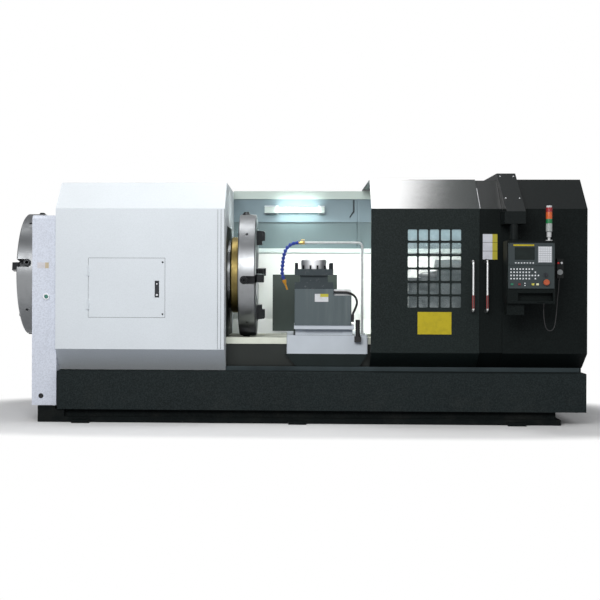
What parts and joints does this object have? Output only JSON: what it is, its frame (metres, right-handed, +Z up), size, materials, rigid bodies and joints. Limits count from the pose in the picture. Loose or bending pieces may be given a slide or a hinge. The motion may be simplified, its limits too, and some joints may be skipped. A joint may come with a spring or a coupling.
{
  "type": "pipe threading lathe",
  "caption": "Enclosed CNC lathe for threading pipe ends: open-bore spindle with a jaw chuck at each end, tool post on a carriage, sliding doors, swivelling control panel.",
  "frame": {"origin": "on the floor, straight below the spindle axis, near the middle of the machine's length", "axes": "+X along the spindle towards the tailstock, +Y away from the operator, +Z up"},
  "size_m": [5.251, 2.082, 2.281],
  "materials": {
    "white_paint": "semi-gloss",
    "pale_paint": "semi-gloss",
    "black_paint": "fine texture",
    "grey_paint": "matt",
    "light_panel": "semi-gloss",
    "cast_iron": "machined",
    "steel": "turned",
    "dark_steel": "ground",
    "chrome": "polished",
    "brass": "turned",
    "black_plastic": "matt",
    "blue_plastic": "moulded",
    "orange_plastic": "moulded",
    "white_plastic": "moulded",
    "red_plastic": "moulded",
    "green_plastic": "moulded",
    "glass": "clear",
    "rubber": "matt"
  },
  "bodies": {
    "frame": {"base_plinth": "black_paint", "bed_base": "black_paint", "bed_ways": "cast_iron", "door_rail": "light_panel", "headstock_cover": "white_paint", "end_guard": "pale_paint", "headstock_casting": "cast_iron", "spindle_bearings": "steel", "rear_enclosure": "light_panel", "work_lamp": "white_plastic", "right_cover": "black_paint", "cable_duct": "black_paint", "service_hinges": "white_paint"},
    "service_door": {"service_door": "white_paint"},
    "latch": {"latch_paddle": "black_plastic"},
    "spindle": {"spindle": "steel", "adapter_ring": "brass", "front_chuck_body": "steel", "rear_chuck_body": "steel", "jaw_screws": "dark_steel"},
    "left_door": {"left_door": "black_paint", "left_door_glass": "glass", "left_door_handle": "chrome"},
    "right_door": {"right_door": "black_paint", "right_door_handle": "chrome"},
    "carriage": {"saddle": "white_paint", "apron": "black_paint", "coolant_riser": "white_plastic", "coolant_valve": "brass", "hose_links": "blue_plastic", "coolant_nozzle": "orange_plastic", "splash_guard": "black_paint", "cable_conduit": "rubber"},
    "cross_slide": {"cross_slide": "white_paint", "post_base": "grey_paint", "turret_cable": "rubber", "junction_box": "white_plastic"},
    "tool_head": {"tool_head": "dark_steel", "motor_cap": "steel", "clamp_bolts": "dark_steel"},
    "ball_screw": {"ball_screw": "steel"},
    "tailstock": {"tailstock_body": "grey_paint"},
    "quill": {"tailstock_quill": "steel"},
    "panel": {"panel_housing": "black_paint", "cnc_unit": "grey_paint", "tower_light": "white_plastic", "pendant": "black_plastic", "pendant_cord": "rubber"},
    "emergency_stop": {"emergency_stop": "red_plastic"},
    "mode_knob": {"mode_knob": "black_plastic"},
    "start_button": {"start_button": "green_plastic"},
    "stop_button": {"stop_button": "red_plastic"},
    "front_jaw_1": {"front_jaw_1": "dark_steel"},
    "front_jaw_2": {"front_jaw_2": "dark_steel"},
    "front_jaw_3": {"front_jaw_3": "dark_steel"},
    "front_jaw_4": {"front_jaw_4": "dark_steel"},
    "rear_jaw_1": {"rear_jaw_1": "dark_steel"},
    "rear_jaw_2": {"rear_jaw_2": "dark_steel"},
    "rear_jaw_3": {"rear_jaw_3": "dark_steel"},
    "rear_jaw_4": {"rear_jaw_4": "dark_steel"}
  },
  "joints": [
    {"name": "spindle_turn", "type": "hinge", "parent": "frame", "child": "spindle", "pos_m": [-1.453, 0, 1.345], "axis": [1, 0, 0], "continuous": true},
    {"name": "service_door_swing", "type": "hinge", "parent": "frame", "child": "service_door", "pos_m": [-1.8555, -0.758, 1.22], "axis": [0, 0, -1], "range_deg": [0, 110]},
    {"name": "latch_lift", "type": "hinge", "parent": "service_door", "child": "latch", "pos_m": [-1.232, -0.746, 1.274], "axis": [-1, 0, 0], "range_deg": [0, 35], "stiffness_Nm_per_rad": 0.5, "springref_deg": -5.73},
    {"name": "left_door_slide", "type": "slide", "parent": "frame", "child": "left_door", "axis": [1, 0, 0], "range_m": [-1.31, 0]},
    {"name": "right_door_slide", "type": "slide", "parent": "frame", "child": "right_door", "axis": [1, 0, 0], "range_m": [0, 0.11]},
    {"name": "carriage_slide", "type": "slide", "parent": "frame", "child": "carriage", "axis": [1, 0, 0], "range_m": [-0.04, 0.35]},
    {"name": "cross_slide_move", "type": "slide", "parent": "carriage", "child": "cross_slide", "axis": [0, 1, 0], "range_m": [-0.03, 0.25]},
    {"name": "tool_head_turn", "type": "hinge", "parent": "cross_slide", "child": "tool_head", "pos_m": [0.187, -0.42, 1.3], "axis": [0, 0, 1], "continuous": true},
    {"name": "ball_screw_turn", "type": "hinge", "parent": "frame", "child": "ball_screw", "pos_m": [0.97, -0.12, 0.64], "axis": [1, 0, 0], "continuous": true},
    {"name": "tailstock_slide", "type": "slide", "parent": "frame", "child": "tailstock", "axis": [1, 0, 0], "range_m": [0, 0.6]},
    {"name": "quill_slide", "type": "slide", "parent": "tailstock", "child": "quill", "axis": [1, 0, 0], "range_m": [-0.15, 0]},
    {"name": "panel_swivel", "type": "hinge", "parent": "frame", "child": "panel", "pos_m": [1.932, -0.95, 1.65], "axis": [0, 0, 1], "range_deg": [-60, 25]},
    {"name": "emergency_press", "type": "slide", "parent": "panel", "child": "emergency_stop", "axis": [0, 1, 0], "range_m": [0, 0.006]},
    {"name": "mode_turn", "type": "hinge", "parent": "panel", "child": "mode_knob", "pos_m": [2.172, -1.14, 1.345], "axis": [0, -1, 0], "range_deg": [-60, 60]},
    {"name": "start_press", "type": "slide", "parent": "panel", "child": "start_button", "axis": [0, 1, 0], "range_m": [0, 0.003], "stiffness_N_per_m": 500, "springref_m": -0.001},
    {"name": "stop_press", "type": "slide", "parent": "panel", "child": "stop_button", "axis": [0, 1, 0], "range_m": [0, 0.003], "stiffness_N_per_m": 500, "springref_m": -0.001},
    {"name": "front_jaw_1_slide", "type": "slide", "parent": "spindle", "child": "front_jaw_1", "axis": [0, -0.0872, 0.9962], "range_m": [-0.07, 0.09]},
    {"name": "front_jaw_2_slide", "type": "slide", "parent": "spindle", "child": "front_jaw_2", "axis": [0, -0.9962, -0.0872], "range_m": [-0.07, 0.09]},
    {"name": "front_jaw_3_slide", "type": "slide", "parent": "spindle", "child": "front_jaw_3", "axis": [0, 0.0872, -0.9962], "range_m": [-0.07, 0.09]},
    {"name": "front_jaw_4_slide", "type": "slide", "parent": "spindle", "child": "front_jaw_4", "axis": [0, 0.9962, 0.0872], "range_m": [-0.07, 0.09]},
    {"name": "rear_jaw_1_slide", "type": "slide", "parent": "spindle", "child": "rear_jaw_1", "axis": [0, 0.1736, 0.9848], "range_m": [-0.07, 0.09]},
    {"name": "rear_jaw_2_slide", "type": "slide", "parent": "spindle", "child": "rear_jaw_2", "axis": [0, 0.9848, -0.1736], "range_m": [-0.07, 0.09]},
    {"name": "rear_jaw_3_slide", "type": "slide", "parent": "spindle", "child": "rear_jaw_3", "axis": [0, -0.1736, -0.9848], "range_m": [-0.07, 0.09]},
    {"name": "rear_jaw_4_slide", "type": "slide", "parent": "spindle", "child": "rear_jaw_4", "axis": [0, -0.9848, 0.1736], "range_m": [-0.07, 0.09]}
  ],
  "couplings": [
    {"joint": "ball_screw_turn", "follows": "carriage_slide", "rad_per_m": 314.16}
  ]
}
